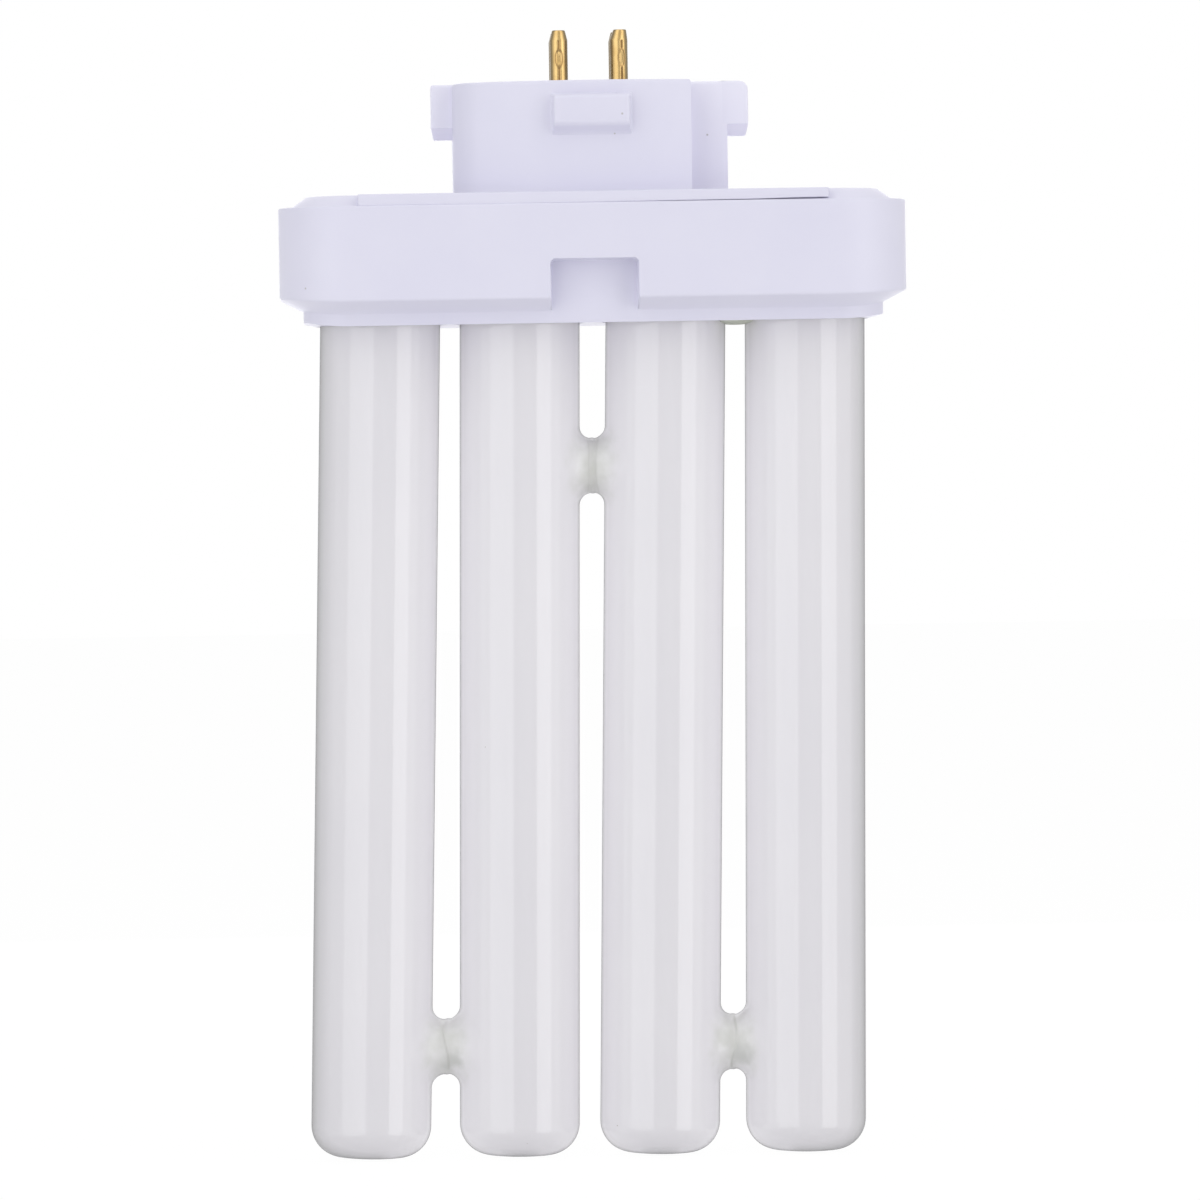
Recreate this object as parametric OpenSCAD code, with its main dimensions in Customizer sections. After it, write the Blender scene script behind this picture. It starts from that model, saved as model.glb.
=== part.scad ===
// Four pin compact fluorescent lamp with a flat row of four joined glass tubes.
// Millimetres, +Z up. The pins point up and the tubes hang down, the front faces -Y.
// The origin is the centre of the plug's end face, where the pins come out.

/* [Contact pins] */
// Diameter of a contact pin
pin_d = 2.35; // [2.1:0.05:2.7]
// Length of pin that stands out of the end face
pin_out = 6.9; // [5:0.1:9]
// Distance between the pins, left to right
pin_pitch_x = 7.92; // [7:0.02:9]
// Distance between the pins, front to back
pin_pitch_y = 6.35; // [5.6:0.05:7.4]
// Diameter of the flat tip
pin_tip_d = 1.52; // [1.2:0.02:1.9]
// Length of the cone below the tip
pin_taper = 1.3; // [0.8:0.1:2.5]
// Step of the pin's thicker shank, which is flush with the end face
pin_step = 0.2; // [0.1:0.05:0.25]
// Thickness of the pin's wall round the bore for its lead
pin_wall = 0.45; // [0.3:0.05:0.55]
// Distance from the end face down to the end of that bore
pin_sink = 0.6; // [0.4:0.1:1.2]
// Diameter of the collar behind the end wall
pin_collar_d = 3.6; // [3.2:0.1:4.4]
// Thickness of that collar
pin_collar_t = 0.7; // [0.4:0.1:1.2]
// Length of the pin's tail behind the collar
pin_tail = 2.2; // [1:0.1:4]
// Length of the crimp dimple
dimple_l = 2.35; // [1.2:0.05:2.8]
// Depth of the crimp dimple
dimple_deep = 0.16; // [0.08:0.01:0.24]
// Distance from the end face up to the dimple's middle
dimple_up = 3.2; // [2.4:0.1:4]
// Width and depth of the rolled seam of the pin
pin_seam = 0.14; // [0.08:0.01:0.2]

/* [Plug] */
// Width of the plug
plug_w = 36.3; // [32:0.1:42]
// Depth of the plug, front to back
plug_d = 23; // [20:0.1:26]
// Height of the plug above the plate
plug_h = 14.7; // [12:0.1:20]
// Radius of its bulging front and back
plug_bulge_r = 38; // [28:1:80]
// Radius of its upright corners
plug_corner_r = 5.5; // [3:0.1:7]
// Thickness of the plug's wall
plug_wall = 1.8; // [1.2:0.1:2.4]
// Thickness of the end wall that carries the pins
plug_end_t = 2.4; // [1.6:0.1:3.2]
// Width of the key recess at the front right corner
key_w = 5; // [3:0.1:7]

/* [Ears] */
// How far an ear stands out of the plug's side
ear_out = 2.8; // [1.5:0.1:4]
// Thickness of an ear, front to back
ear_t = 5; // [3:0.1:8]
// Height of an ear's upright face
ear_h = 5.7; // [4:0.1:7]
// Height of the slope under an ear
ear_ramp = 1.5; // [0.8:0.1:2]
// Radius of the left ear's upper corner
ear_left_r = 0.3; // [0.1:0.05:1.5]
// Radius of the right ear's upper corner
ear_right_r = 1.15; // [0.1:0.05:1.5]

/* [Latches] */
// Width of the front and back latch
latch_w = 10.4; // [7:0.1:14]
// How far a latch stands out of the bulge
latch_out = 1.7; // [1:0.1:2.5]
// Distance from the end face down to the latch
latch_drop = 1.4; // [0.6:0.1:2.4]
// Height of the latch's upright face
latch_h = 4.7; // [3:0.1:6]
// Height of the slope under the latch
latch_ramp = 1.2; // [0.6:0.1:2]

/* [Cap plate] */
// Width of the plate at its foot
plate_w = 79.1; // [78.8:0.1:80.4]
// Depth of the plate at its foot
plate_d = 28; // [26.8:0.1:29]
// Height of the plate above the shell
plate_h = 1.45; // [1:0.05:2.4]
// How far the plate's bevelled edge leans in
plate_bevel = 2; // [0.6:0.1:3]
// Width of the tongue that runs to the front and back face
tongue_w = 61.6; // [50:0.1:64]
// How far the tongue stays behind the shell's face
tongue_back = 0.15; // [0.05:0.05:0.5]
// Thickness of the plate, down from its top
plate_t = 2.6; // [2.5:0.1:3.2]
// Thickness of the locating rim under the plate
rim_t = 1.3; // [0.8:0.1:2]
// How far the rim reaches into the shell
rim_in = 2.4; // [1.6:0.1:3.2]

/* [Shell] */
// Width of the shell
shell_w = 82.5; // [80.8:0.1:84]
// Depth of the shell, front to back
shell_d = 30; // [29:0.1:32]
// Height of the shell's upright wall
shell_h = 12.3; // [11:0.1:16]
// Radius of the shell's upright corners
shell_r = 9; // [7:0.1:12]
// Thickness of the shell's wall
shell_wall = 2.4; // [1.8:0.1:2.8]
// How far the lower bevel leans in
chin_in = 3.1; // [2:0.1:3.6]
// Height of the lower bevel
chin_h = 1.55; // [1:0.05:2.4]
// Height of the skirt below the bevel
skirt_h = 1.6; // [1:0.1:3]
// Thickness of the floor that the tubes pass through
floor_t = 3.1; // [2.6:0.1:4]
// Width of the notch in the front and the back
notch_w = 11.6; // [8:0.1:13]
// Height of the notch above the lower bevel
notch_h = 5.15; // [3:0.05:7]
// Radius of the notch's upper corners
notch_r = 0.7; // [0.2:0.1:1.5]
// Thickness of the collar round each tube
collar_t = 1; // [0.8:0.1:1.4]
// Height of those collars above the floor
collar_h = 6.6; // [4:0.1:7]

/* [Glass] */
// Outer diameter of a glass tube
tube_d = 15.85; // [14.8:0.05:16]
// Distance between the two middle tubes at the skirt
pitch_middle = 19.3; // [18.6:0.05:19.8]
// Distance between an outer and a middle tube at the skirt
pitch_side = 18.45; // [18:0.05:18.8]
// Length of the outer tubes and middle tubes below the skirt
tube_out = 110.2; // [80:0.1:160]
// Length of tube inside the base
tube_in = 10.4; // [9.6:0.1:11]
// Lean of each tube to the left, in degrees, from left to right
tube_lean = [1.6, 0.94, 1.32, 0.83]; // [0:0.01:2]
// Radius of the corner round a tube's closed end
end_corner_r = 4.2; // [2:0.1:5]
// Radius of the shallow dome of a closed end
end_dome_r = 36; // [14:1:60]
// Diameter of a bridge at its waist
bridge_d = 7.25; // [5.5:0.05:9]
// Distance from the skirt down to the upper bridge
bridge_high = 18.9; // [14:0.1:30]
// Distance from the tube tips up to the two lower bridges
bridge_low = 14.7; // [11:0.1:25]
// Angle at which a bridge opens into the tubes, in degrees
bridge_open = 34; // [20:1:45]
// Thickness of the webs that round the slots off
bridge_web = 4.4; // [3:0.1:6]
// Radius of the fused bead round a bridge
bead = 0.3; // [0.1:0.05:0.6]
// Width of the pressed seal on an outer tube
seal_w = 8; // [6:0.1:10]
// Thickness of the pressed seal
seal_t = 2.2; // [1.6:0.1:3]
// Height of the pressed seal above the glass
seal_h = 1.5; // [1:0.1:2]
// Diameter of the closed pump stem on a middle tube
stem_d = 3; // [2:0.1:4]

/* [Leads] */
// Diameter of a lead wire
lead_d = 0.8; // [0.4:0.05:0.9]
// Distance between the two leads of a seal
lead_pitch = 4; // [3:0.1:5]
// Radius of a lead's bends, at its middle
lead_bend = 0.9; // [0.7:0.1:1]
// How far a lead ends below the pin's blind end
lead_gap = 0.4; // [0.2:0.1:0.8]

/* [Clearances] */
// Gap round a tube that the cement fills
cement_gap = 0.45; // [0.4:0.05:0.5]
// How far the cement stays behind the skirt's edge
cement_back = 0.3; // [0.1:0.1:0.8]
// Gap between a pin and its hole, each side
pin_fit = 0.04; // [0.02:0.01:0.1]
// Gap between the rim or a hook and the shell
rim_fit = 0.15; // [0.1:0.05:0.3]

/* [Hooks] */
// Width of a snap hook
hook_w = 6; // [4:0.1:8]
// Length of a snap hook below the plate
hook_l = 5.6; // [4.5:0.1:6.5]
// How far its barb stands out
hook_barb = 0.6; // [0.4:0.05:0.8]
// Distance of the hooks from the middle
hook_x = 22; // [16:0.5:26]

/* [Hidden] */

// Rounds are drawn with this many sides
round_n = 72;
// Steps in a drawn quarter arc
arc_n = 10;
// Overlap of shapes that are joined, and overshoot of cuts
eps = 0.01;
cut = 1;

// Levels along Z
plate_top = -plug_h;
shell_top = plate_top - plate_h;
chin_top = shell_top - shell_h;
skirt_top = chin_top - chin_h;
skirt_z = skirt_top - skirt_h;
floor_z = skirt_z + floor_t;
glass_top = skirt_z + tube_in;
tip_z = skirt_z - tube_out;

// Tubes from left to right: where each axis crosses the skirt's plane
tube_x = [
  -pitch_middle / 2 - pitch_side,
  -pitch_middle / 2,
  pitch_middle / 2,
  pitch_middle / 2 + pitch_side
];
tube_r = tube_d / 2;
socket_r = tube_r + cement_gap;

// X of a tube's leaning axis at the height z
function axis_x(i, z) = tube_x[i] - tan(tube_lean[i]) * (skirt_z - z);

// Points of an arc about a centre, from one angle to another
function arc(c, r, from, to, n) = [
  for (k = [0:n]) c + r * [cos(from + (to - from) * k / n), sin(from + (to - from) * k / n)]
];

// Where a tube's leads start, and the height at which they run to the pins
seal_top = glass_top + seal_h;
run_z = seal_top + lead_bend + lead_d / 4;
pin_bore_d = pin_d - 2 * pin_wall;
pin_shank_d = pin_d + 2 * pin_step;
lead_end = -pin_sink - lead_gap;
pin_foot = -plug_end_t - pin_collar_t - pin_tail;

// Seen from above: a rectangle with true round corners
module round_plan(w, d, r) {
  square([w, d - 2 * r], center = true);
  square([w - 2 * r, d], center = true);
  for (sx = [-1, 1], sy = [-1, 1])
    translate([sx * (w / 2 - r), sy * (d / 2 - r)])
      circle(r, $fn = round_n);
}

// A block with round corners whose upright outline is a list of [inset, height] points,
// from its foot to its top. Corners are turned and sides are drawn with the same outline.
module moulded_block(w, d, r, steps) {
  foot = steps[0][1];
  head = steps[len(steps) - 1][1];
  for (sx = [-1, 1], sy = [-1, 1])
    translate([sx * (w / 2 - r), sy * (d / 2 - r), 0])
      rotate_extrude($fn = round_n)
        polygon(concat([[0, foot]], [for (s = steps) [r - s[0], s[1]]], [[0, head]]));
  rotate([90, 0, 90])
    linear_extrude(w - 2 * r, center = true)
      side_section(d / 2, steps);
  rotate([90, 0, 0])
    linear_extrude(d - 2 * r, center = true)
      side_section(w / 2, steps);
}

// Section right through such a block, from side to side
module side_section(half, steps) {
  n = len(steps);
  polygon(concat(
    [for (s = steps) [half - s[0], s[1]]],
    [for (k = [n - 1:-1:0]) [steps[k][0] - half, steps[k][1]]]
  ));
}

// Outline of the plug: bulging front and back, straight sides and round corners.
// The corner arcs touch the bulge and the side without a kink.
module plug_plan(inset) {
  w = plug_w / 2 - inset;
  d = plug_d / 2 - inset;
  bulge = plug_bulge_r - inset;
  corner = plug_corner_r - inset;
  cx = w - corner;
  cy = bulge - d - sqrt(pow(bulge - corner, 2) - cx * cx);
  turn = atan2(cx, bulge - d - cy);
  quarter = concat(
    arc([cx, cy], corner, 0, turn - 90, arc_n),
    arc([0, bulge - d], bulge, turn - 90, -90, arc_n)
  );
  n = len(quarter);
  right_front = [for (p = quarter) p];
  left_front = [for (k = [n - 2:-1:0]) [-quarter[k][0], quarter[k][1]]];
  front = concat(right_front, left_front);
  back = [for (k = [len(front) - 1:-1:0]) [front[k][0], -front[k][1]]];
  polygon(concat(front, back));
}

// Inner edge of the key recess and the plane of the ears' front faces
key_x = plug_w / 2 - key_w;
ear_front = ear_t / 2;

// An ear on the right side, its section leaning in under the upright face
module ear(corner_r) {
  foot = ear_h + ear_ramp;
  intersection() {
    translate([0, ear_t / 2 + cut, 0])
      rotate([90, 0, 0])
        linear_extrude(ear_t + 2 * cut)
          polygon(concat(
            [[key_x, 0]],
            arc([plug_w / 2 + ear_out - corner_r, -corner_r], corner_r, 90, 0, arc_n),
            [[plug_w / 2 + ear_out, -foot], [key_x, -foot]]
          ));
    translate([key_x - cut, 0, 0])
      rotate([90, 0, 90])
        linear_extrude(plug_w)
          polygon([
            [-ear_t / 2, cut],
            [-ear_t / 2, -ear_h],
            [-ear_t / 2 + ear_ramp, -foot],
            [ear_t / 2 - ear_ramp, -foot],
            [ear_t / 2, -ear_h],
            [ear_t / 2, cut]
          ]);
  }
}

// The front latch: an upright face with a slope that runs back into the plug
module latch() {
  face = plug_d / 2 + latch_out;
  root = plug_d / 2 - plug_wall / 2;
  low = latch_drop + latch_h;
  translate([-latch_w / 2, 0, 0])
    rotate([90, 0, 90])
      linear_extrude(latch_w)
        polygon([
          [-root, -latch_drop],
          [-face, -latch_drop],
          [-face, -low],
          [-root, -low - latch_ramp * (face - root) / latch_out]
        ]);
}

// Room inside the plug, clear of the wall behind the key recess
module plug_room() {
  translate([0, 0, plate_top - plate_t])
    linear_extrude(plug_h + plate_t - plug_end_t)
      difference() {
        plug_plan(plug_wall);
        translate([key_x - plug_wall, -plug_d])
          square([plug_w, plug_d - ear_front + plug_wall]);
      }
}

// Plate with a bevelled edge, and the tongue that runs to the front and back
module plate() {
  moulded_block(
    plate_w,
    plate_d,
    shell_r - (shell_d - plate_d) / 2,
    [[0, shell_top], [plate_bevel, plate_top]]
  );
  translate([-tongue_w / 2, tongue_back - shell_d / 2, shell_top])
    cube([tongue_w, shell_d - 2 * tongue_back, plate_h]);
}

// Outline of the shell's room, made smaller by a gap
module room_plan(gap) {
  round_plan(
    shell_w - 2 * (shell_wall + gap),
    shell_d - 2 * (shell_wall + gap),
    shell_r - shell_wall - gap
  );
}

// What reaches into the shell: the lower part of the plate and the rim
module rim() {
  translate([0, 0, plate_top - plate_t])
    linear_extrude(plate_t - plate_h + eps)
      room_plan(rim_fit);
  translate([0, 0, shell_top - rim_in])
    linear_extrude(rim_in)
      difference() {
        room_plan(rim_fit);
        room_plan(rim_fit + rim_t);
      }
}

// Section of a snap hook, and of the pocket that takes its barb
module hook_section(grow) {
  face = shell_d / 2 - shell_wall - rim_fit;
  low = shell_top - hook_l;
  polygon([
    [-face + rim_t + grow, shell_top],
    [-face, shell_top],
    [-face, low + 2 * hook_barb + grow],
    [-face - hook_barb - grow, low + 2 * hook_barb + grow],
    [-face - hook_barb - grow, low + hook_barb - grow],
    [-face, low - grow],
    [-face + rim_t + grow, low - grow]
  ]);
}

// The four hooks, or with a gap the pockets for them
module hooks(grow) {
  for (side = [0, 1], x = [-hook_x, hook_x])
    mirror([0, side, 0])
      translate([x - hook_w / 2 - grow, 0, 0])
        rotate([90, 0, 90])
          linear_extrude(hook_w + 2 * grow)
            hook_section(grow);
}

// Moulded cap: plug, ears, latches, plate, rim and hooks in one piece
module base_cap() {
  color([0.87, 0.86, 0.93])
    difference() {
      union() {
        translate([0, 0, plate_top - eps])
          linear_extrude(plug_h + eps)
            plug_plan(0);
        ear(ear_right_r);
        mirror([1, 0, 0])
          ear(ear_left_r);
        latch();
        mirror([0, 1, 0])
          latch();
        plate();
        rim();
        hooks(0);
      }
      translate([key_x, -plug_d, plate_top])
        cube([plug_w, plug_d - ear_front, plug_h + cut]);
      plug_room();
      for (sx = [-1, 1], sy = [-1, 1])
        translate([sx * pin_pitch_x / 2, sy * pin_pitch_y / 2, -plug_end_t - cut])
          cylinder(h = plug_end_t + 2 * cut, d = pin_shank_d + 2 * pin_fit, $fn = round_n);
    }
}

// The notch in the front: open below, its floor in line with the skirt
module notch() {
  top = chin_top + notch_h;
  translate([0, chin_in - shell_d / 2, 0])
    rotate([90, 0, 0])
      linear_extrude(chin_in + cut)
        polygon(concat(
          [[-notch_w / 2, skirt_z - cut]],
          [[notch_w / 2, skirt_z - cut]],
          arc([notch_w / 2 - notch_r, top - notch_r], notch_r, 0, 90, arc_n),
          arc([notch_r - notch_w / 2, top - notch_r], notch_r, 90, 180, arc_n)
        ));
}

// The wall behind the notch, as thick as the shell's other walls
module notch_back() {
  w = notch_w + 2 * shell_wall;
  translate([-w / 2, chin_in - shell_d / 2, floor_z - eps])
    cube([w, shell_wall, chin_top + notch_h + shell_wall - floor_z]);
  translate([-w / 2, -shell_d / 2 + shell_wall / 2, chin_top + notch_h])
    cube([w, chin_in + shell_wall / 2, shell_wall]);
}

// Moulded shell: wall, lower bevel, skirt, floor, tube collars and notches
module base_shell() {
  color([0.87, 0.86, 0.93])
    difference() {
      union() {
        difference() {
          moulded_block(
            shell_w,
            shell_d,
            shell_r,
            [[chin_in, skirt_z], [chin_in, skirt_top], [0, chin_top], [0, shell_top]]
          );
          translate([0, 0, floor_z])
            linear_extrude(shell_top - floor_z + cut)
              room_plan(0);
          hooks(rim_fit);
        }
        for (side = [0, 1])
          mirror([0, side, 0])
            notch_back();
        for (x = tube_x)
          translate([x, 0, floor_z - eps])
            cylinder(h = collar_h, r = socket_r + collar_t, $fn = round_n);
      }
      for (side = [0, 1])
        mirror([0, side, 0])
          notch();
      for (x = tube_x)
        translate([x, 0, skirt_z - cut])
          cylinder(h = tube_in + cut, r = socket_r, $fn = round_n);
    }
}

// A closed glass tube about its own axis, with the same shallow dome at both ends.
// The corner arc touches the dome and the side without a kink.
module tube_body() {
  cx = tube_r - end_corner_r;
  rise = end_dome_r - sqrt(pow(end_dome_r - end_corner_r, 2) - cx * cx);
  turn = atan2(cx, end_dome_r - rise);
  low = -tube_out;
  corner = arc([cx, low + rise], end_corner_r, 0, turn - 90, arc_n);
  dome = arc([0, low + end_dome_r], end_dome_r, turn - 90, -90, arc_n);
  below = concat(corner, [for (k = [1:arc_n - 1]) dome[k]], [[0, low]]);
  middle = (tube_in - tube_out) / 2;
  above = [for (k = [len(below) - 1:-1:0]) [below[k][0], 2 * middle - below[k][1]]];
  rotate_extrude($fn = round_n)
    polygon(concat(below, above));
}

// A bridge between two neighbouring tubes: a waisted round neck that opens into both
// tubes, webs above and below that end each slot in a half circle, and a fused bead.
module bridge(i, z) {
  left = axis_x(i, z);
  right = axis_x(i + 1, z);
  half_gap = (right - left - tube_d) / 2;
  reach = half_gap + tube_r / 2;
  waist = bridge_d / 2;
  bend = half_gap / sin(bridge_open);
  mouth = waist + bend * (1 - cos(bridge_open));
  root = mouth + (reach - half_gap) * tan(bridge_open);
  throat = [
    for (p = arc([0, waist + bend], bend, 270 - bridge_open, 270 + bridge_open, arc_n))
      [p[1], p[0]]
  ];
  translate([(left + right) / 2, 0, z]) {
    rotate([0, 90, 0]) {
      rotate_extrude($fn = round_n)
        polygon(concat([[0, -reach], [root, -reach]], throat, [[root, reach], [0, reach]]));
      rotate_extrude($fn = round_n)
        translate([waist, 0])
          circle(bead, $fn = 24);
    }
    rotate([90, 0, 0])
      linear_extrude(bridge_web, center = true)
        difference() {
          square([2 * reach, 2 * (waist + half_gap)], center = true);
          for (side = [-1, 1])
            translate([0, side * (waist + half_gap)])
              circle(half_gap, $fn = round_n);
        }
  }
}

// The sealed bulb: four closed tubes joined by three bridges, coated inside
module glass() {
  color([0.93, 0.92, 0.94])
    union() {
      for (i = [0:3])
        translate([tube_x[i], 0, skirt_z])
          rotate([0, tube_lean[i], 0]) {
            tube_body();
            if (i == 0 || i == 3)
              translate([-seal_t / 2, -seal_w / 2, tube_in - end_corner_r])
                cube([seal_t, seal_w, end_corner_r + seal_h]);
            else
              translate([0, 0, tube_in - end_corner_r])
                cylinder(h = end_corner_r + seal_h, d = stem_d, $fn = round_n);
          }
      bridge(0, tip_z + bridge_low);
      bridge(1, skirt_z - bridge_high);
      bridge(2, tip_z + bridge_low);
    }
}

// A contact pin with a bored tail, its crimp and seam towards the given side
module pin(sx, sy) {
  scoop_r = (pow(dimple_l / 2, 2) + pow(dimple_deep, 2)) / (2 * dimple_deep);
  color([0.85, 0.68, 0.33])
    translate([sx * pin_pitch_x / 2, sy * pin_pitch_y / 2, 0])
      difference() {
        union() {
          translate([0, 0, pin_foot])
            cylinder(h = pin_out - pin_taper - pin_foot, d = pin_d, $fn = round_n);
          translate([0, 0, pin_out - pin_taper])
            cylinder(h = pin_taper, d1 = pin_d, d2 = pin_tip_d, $fn = round_n);
          translate([0, 0, -plug_end_t])
            cylinder(h = plug_end_t, d = pin_shank_d, $fn = round_n);
          translate([0, 0, -plug_end_t - pin_collar_t])
            cylinder(h = pin_collar_t, d = pin_collar_d, $fn = round_n);
        }
        translate([0, 0, pin_foot - cut])
          cylinder(h = -pin_sink - pin_foot + cut, d = pin_bore_d, $fn = round_n);
        translate([-pin_d, sy * (pin_d / 2 - dimple_deep + scoop_r), dimple_up])
          rotate([0, 90, 0])
            cylinder(h = 2 * pin_d, r = scoop_r, $fn = 96);
        translate([-pin_seam / 2, sy * pin_d / 2 - pin_seam, 0])
          cube([pin_seam, 2 * pin_seam, pin_out - pin_taper]);
      }
}

// A lead wire: up out of the seal, level to the pin's place and up into its bore
module lead(sx, sy) {
  i = sx < 0 ? 0 : 3;
  from = [axis_x(i, seal_top), sy * lead_pitch / 2];
  to = [sx * pin_pitch_x / 2, sy * pin_pitch_y / 2];
  span = norm(to - from);
  heading = atan2(to[1] - from[1], to[0] - from[0]);
  color([0.72, 0.7, 0.66])
    translate([from[0], from[1], 0])
      rotate([0, 0, heading]) {
        translate([0, 0, seal_top])
          cylinder(h = run_z - lead_bend - seal_top, d = lead_d, $fn = 24);
        translate([lead_bend, 0, run_z - lead_bend])
          rotate([90, 0, 180])
            rotate_extrude(angle = 90, $fn = 48)
              translate([lead_bend, 0])
                circle(d = lead_d, $fn = 24);
        translate([lead_bend, 0, run_z])
          rotate([0, 90, 0])
            cylinder(h = span - 2 * lead_bend, d = lead_d, $fn = 24);
        translate([span - lead_bend, 0, run_z + lead_bend])
          rotate([-90, 0, 0])
            rotate_extrude(angle = 90, $fn = 48)
              translate([lead_bend, 0])
                circle(d = lead_d, $fn = 24);
        translate([span, 0, run_z + lead_bend])
          cylinder(h = lead_end - run_z - lead_bend, d = lead_d, $fn = 24);
      }
}

// The ring of cement between a straight socket and its leaning tube
module cement(i) {
  low = skirt_z + cement_back;
  color([0.8, 0.8, 0.74])
    difference() {
      translate([tube_x[i], 0, low])
        cylinder(h = floor_z + collar_h - low - 2 * eps, r = socket_r, $fn = round_n);
      translate([tube_x[i], 0, skirt_z])
        rotate([0, tube_lean[i], 0])
          translate([0, 0, -tube_in])
            cylinder(h = 3 * tube_in, r = tube_r, $fn = round_n);
    }
}

glass();
base_shell();
base_cap();
pin(-1, -1);  // pin_front_left
pin(1, -1);  // pin_front_right
pin(-1, 1);  // pin_rear_left
pin(1, 1);  // pin_rear_right
lead(-1, -1);  // lead_front_left
lead(1, -1);  // lead_front_right
lead(-1, 1);  // lead_rear_left
lead(1, 1);  // lead_rear_right
cement(0);  // cement_far_left
cement(1);  // cement_mid_left
cement(2);  // cement_mid_right
cement(3);  // cement_far_right
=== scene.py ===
"""Looks of the four pin compact fluorescent lamp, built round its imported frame.

Shapes are worked out in millimetres with numpy and put into meshes in metres.
"""

import bpy
import numpy as np
from mathutils import Matrix, Vector
from mathutils.geometry import delaunay_2d_cdt


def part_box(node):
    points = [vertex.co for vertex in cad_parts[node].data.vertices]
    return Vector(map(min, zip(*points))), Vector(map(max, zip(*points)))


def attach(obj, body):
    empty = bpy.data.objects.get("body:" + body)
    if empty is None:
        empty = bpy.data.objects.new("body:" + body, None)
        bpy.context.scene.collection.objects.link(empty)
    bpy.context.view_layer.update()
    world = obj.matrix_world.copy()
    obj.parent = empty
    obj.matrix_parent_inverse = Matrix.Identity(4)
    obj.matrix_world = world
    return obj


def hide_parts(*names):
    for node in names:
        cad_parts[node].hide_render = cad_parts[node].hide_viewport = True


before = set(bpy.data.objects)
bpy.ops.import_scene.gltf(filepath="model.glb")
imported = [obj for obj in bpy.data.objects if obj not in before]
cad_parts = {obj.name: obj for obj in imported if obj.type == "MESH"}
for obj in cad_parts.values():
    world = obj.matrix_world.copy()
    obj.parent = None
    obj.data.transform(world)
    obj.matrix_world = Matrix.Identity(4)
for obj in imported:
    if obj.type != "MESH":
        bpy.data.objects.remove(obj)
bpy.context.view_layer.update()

MM = 0.001


def node_box(node):
    """Lowest and highest corner of a CAD node, in millimetres."""
    low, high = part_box(node)
    return np.array(low) / MM, np.array(high) / MM


# Sizes that the frame gives, in millimetres
shell_low, shell_high = node_box("base_shell")
SHELL_W, SHELL_D = (shell_high - shell_low)[:2]
SHELL_TOP = shell_high[2]
SKIRT_Z = shell_low[2]
TIP_Z = node_box("glass")[0][2]
PIN_FOOT, PIN_OUT = (corner[2] for corner in node_box("pin_front_left"))

# Sizes that repeat the construction, in millimetres
SHELL_R = 9.0
CHIN_IN = 3.1
CHIN_H = 1.55
SKIRT_H = 1.6
NOTCH_W = 11.6
NOTCH_H = 5.15
NOTCH_R = 0.7
PLATE_W = 79.1
PLATE_D = 28.0
PLATE_H = 1.45
PLATE_BEVEL = 2.0
TONGUE_W = 61.6
TONGUE_BACK = 0.15
PLUG_W = 36.3
PLUG_D = 23.0
PLUG_BULGE_R = 38.0
PLUG_CORNER_R = 5.5
KEY_W = 5.0
EAR_OUT = 2.8
EAR_T = 5.0
EAR_H = 5.7
EAR_RAMP = 1.5
EAR_LEFT_R = 0.3
EAR_RIGHT_R = 1.15
LATCH_W = 10.4
LATCH_OUT = 1.7
PIN_D = 2.35
PIN_TAPER = 1.3
PIN_PITCH_X = 7.92
PIN_PITCH_Y = 6.35
DIMPLE_L = 2.35
DIMPLE_UP = 3.2
TUBE_D = 15.85
TUBE_IN = 10.4
PITCH_MIDDLE = 19.3
PITCH_SIDE = 18.45
TUBE_LEAN = np.radians([1.6, 0.94, 1.32, 0.83])
END_CORNER_R = 4.2
END_DOME_R = 36.0
BRIDGE_D = 7.25
BRIDGE_HIGH = 18.9
BRIDGE_LOW = 14.7
CEMENT_GAP = 0.45

# Sizes of the scene alone, in millimetres: small sags, softened edges, offsets that keep two
# faces out of one plane, and details measured again in the photograph
SIDE_LIFT = 0.42
FRONT_DROP = 0.2
BOW_BELOW = 3.0
BOW_REACH = 7.0
SKIRT_SOFT = 0.3
CHIN_SOFT = 0.45
SHELL_LIP = 2.2
SOCKET_DEEP = 2.5
TONGUE_PROUD = 0.03
TONGUE_SOFT = 0.14
EAR_SINK = 0.6
EAR_PROUD = 0.012
EAR_SOFT = 0.22
LATCH_DROP = 1.85
LATCH_H = 4.2
LATCH_RAMP = 1.0
PIN_TIP_D = 1.7
PIN_SEAM = 0.09
PIN_TWIST = 18.0
PIN_BEND = 0.16
DIMPLE_W = 1.02
DIMPLE_DEEP = 0.2
FLOOR_DROP = 0.15
FLOOR_REACH = 4000.0

# How much painted light a face gets: a lighter colour standing in for light on faces that stand
# back beside the plug or face down
KEY_PAINTED_LIGHT = 0.5
EAR_FACE_PAINTED_LIGHT = 0.4
EAR_SLOPE_PAINTED_LIGHT = 0.75

TUBE_R = TUBE_D / 2
TUBE_OUT = SKIRT_Z - TIP_Z
SOCKET_R = TUBE_R + CEMENT_GAP
PLATE_TOP = SHELL_TOP + PLATE_H
SKIRT_TOP = SKIRT_Z + SKIRT_H
CHIN_TOP = SKIRT_TOP + CHIN_H
NOTCH_TOP = CHIN_TOP + NOTCH_H
EAR_FRONT = EAR_T / 2
KEY_X = PLUG_W / 2 - KEY_W
LOW_BRIDGE_Z = TIP_Z + BRIDGE_LOW
HIGH_BRIDGE_Z = SKIRT_Z - BRIDGE_HIGH
TUBE_X = np.array([-0.5 * PITCH_MIDDLE - PITCH_SIDE, -0.5 * PITCH_MIDDLE,
                   0.5 * PITCH_MIDDLE, 0.5 * PITCH_MIDDLE + PITCH_SIDE])

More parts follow.
